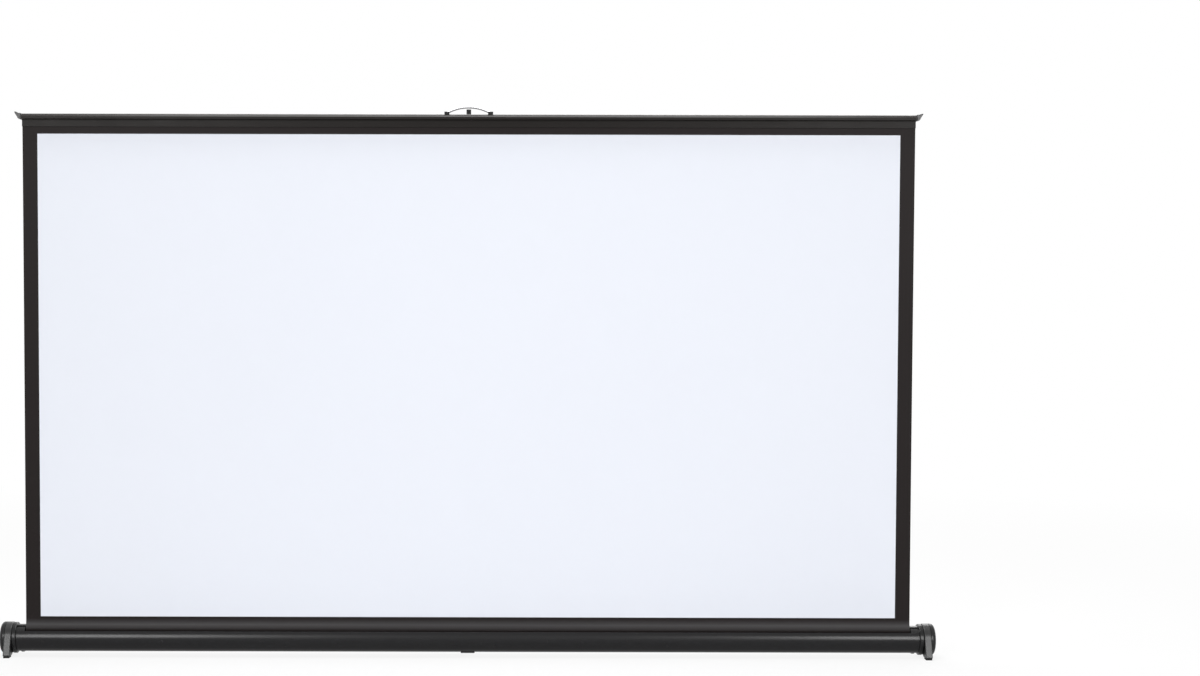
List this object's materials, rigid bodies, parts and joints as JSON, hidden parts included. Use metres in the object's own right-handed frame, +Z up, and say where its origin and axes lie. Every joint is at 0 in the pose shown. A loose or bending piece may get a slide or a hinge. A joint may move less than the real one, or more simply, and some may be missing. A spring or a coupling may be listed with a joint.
{
  "type": "projection screen",
  "caption": "Portable pull-up projection screen: fabric drawn from a spring roller in a slotted tube on two feet, its top bar raised on a folding diamond of arms.",
  "frame": {"origin": "on the floor, midway between the feet, straight below the tube's axis", "axes": "+X along the tube to the viewer's right, +Y towards the back, +Z up; the white face looks along -Y"},
  "size_m": [1.2108, 0.0572, 0.7104],
  "materials": {
    "tube_black": "black anodised extrusion, satin gloss",
    "screen_white": "matt white projection fabric with black borders and a dark grey back",
    "fabric_black": "black leader of the fabric",
    "rubber_black": "soft black pads",
    "steel_plain": "zinc plated",
    "steel_dark": "blackened",
    "plastic_black": "fine moulded grain",
    "foot_gloss": "smooth black moulding",
    "disc_gloss": "polished black moulding",
    "wire_chrome": "bright",
    "bracket_black": "black paint on pressed steel",
    "arm_alu": "dark grey anodised flat bar",
    "nylon_white": "plain"
  },
  "bodies": {
    "casing": {"casing_tube": "tube_black", "cap_screws": "steel_dark", "foot_pads": "rubber_black", "left_end_cap": "plastic_black", "right_end_cap": "plastic_black", "left_foot": "foot_gloss", "right_foot": "foot_gloss", "left_end_disc": "disc_gloss", "right_end_disc": "disc_gloss", "idle_pin": "steel_plain", "spring_shaft": "steel_plain", "roller_spring": "steel_plain", "screen_fabric": "screen_white", "base_bracket": "bracket_black", "base_rivets": "steel_dark", "left_base_pin": "steel_dark", "right_base_pin": "steel_dark"},
    "roller": {"roller_tube": "steel_plain", "fabric_wraps": "fabric_black", "left_roller_plug": "plastic_black", "right_roller_plug": "plastic_black", "spring_anchor": "plastic_black"},
    "left_lower_link": {"left_lower_arm": "arm_alu", "left_knee_pin": "steel_dark", "left_knee_washer": "nylon_white", "left_knee_spring": "steel_plain"},
    "right_lower_link": {"right_lower_arm": "arm_alu", "right_knee_pin": "steel_dark", "right_knee_washer": "nylon_white", "right_knee_spring": "steel_plain"},
    "left_upper_link": {"left_upper_arm": "arm_alu"},
    "right_upper_link": {"right_upper_arm": "arm_alu"},
    "bar": {"top_bar": "tube_black", "bar_bracket": "bracket_black", "bar_screws": "steel_dark", "handle_wire": "wire_chrome", "handle_lugs": "plastic_black", "fabric_spline": "plastic_black", "left_bar_cap": "plastic_black", "right_bar_cap": "plastic_black", "left_top_pin": "steel_dark", "right_top_pin": "steel_dark", "latch_pin": "steel_dark"},
    "latch": {"latch_lever": "plastic_black"}
  },
  "joints": [
    {"name": "arm_fold", "type": "hinge", "parent": "casing", "child": "left_lower_link", "pos_m": [-0.042, 0.0068, 0.047], "axis": [0, -1, 0], "range_deg": [0, 60], "deforming": ["screen_fabric"]},
    {"name": "left_knee", "type": "hinge", "parent": "left_lower_link", "child": "left_upper_link", "pos_m": [-0.22588, 0.00905, 0.36549], "axis": [0, 1, 0], "range_deg": [0, 120], "deforming": ["left_knee_spring"]},
    {"name": "bar_level", "type": "hinge", "parent": "left_upper_link", "child": "bar", "pos_m": [-0.042, 0.0113, 0.68399], "axis": [0, -1, 0], "range_deg": [0, 60]},
    {"name": "right_fold", "type": "hinge", "parent": "casing", "child": "right_lower_link", "pos_m": [0.042, 0.0068, 0.047], "axis": [0, 1, 0], "range_deg": [0, 60]},
    {"name": "right_knee", "type": "hinge", "parent": "right_lower_link", "child": "right_upper_link", "pos_m": [0.22588, 0.00905, 0.36549], "axis": [0, -1, 0], "range_deg": [0, 120], "deforming": ["right_knee_spring"]},
    {"name": "roller_turn", "type": "hinge", "parent": "casing", "child": "roller", "pos_m": [0, 0, 0.0225], "axis": [1, 0, 0], "range_deg": [0, 3302]},
    {"name": "latch_swing", "type": "hinge", "parent": "bar", "child": "latch", "pos_m": [0, 0.019, 0.68799], "axis": [1, 0, 0], "range_deg": [0, 15]}
  ],
  "couplings": [
    {"joint": "left_knee", "follows": "arm_fold", "ratio": 2},
    {"joint": "bar_level", "follows": "arm_fold", "ratio": 1},
    {"joint": "right_fold", "follows": "arm_fold", "ratio": 1},
    {"joint": "right_knee", "follows": "arm_fold", "ratio": 2},
    {"joint": "roller_turn", "follows": "arm_fold", "ratio": 55}
  ]
}
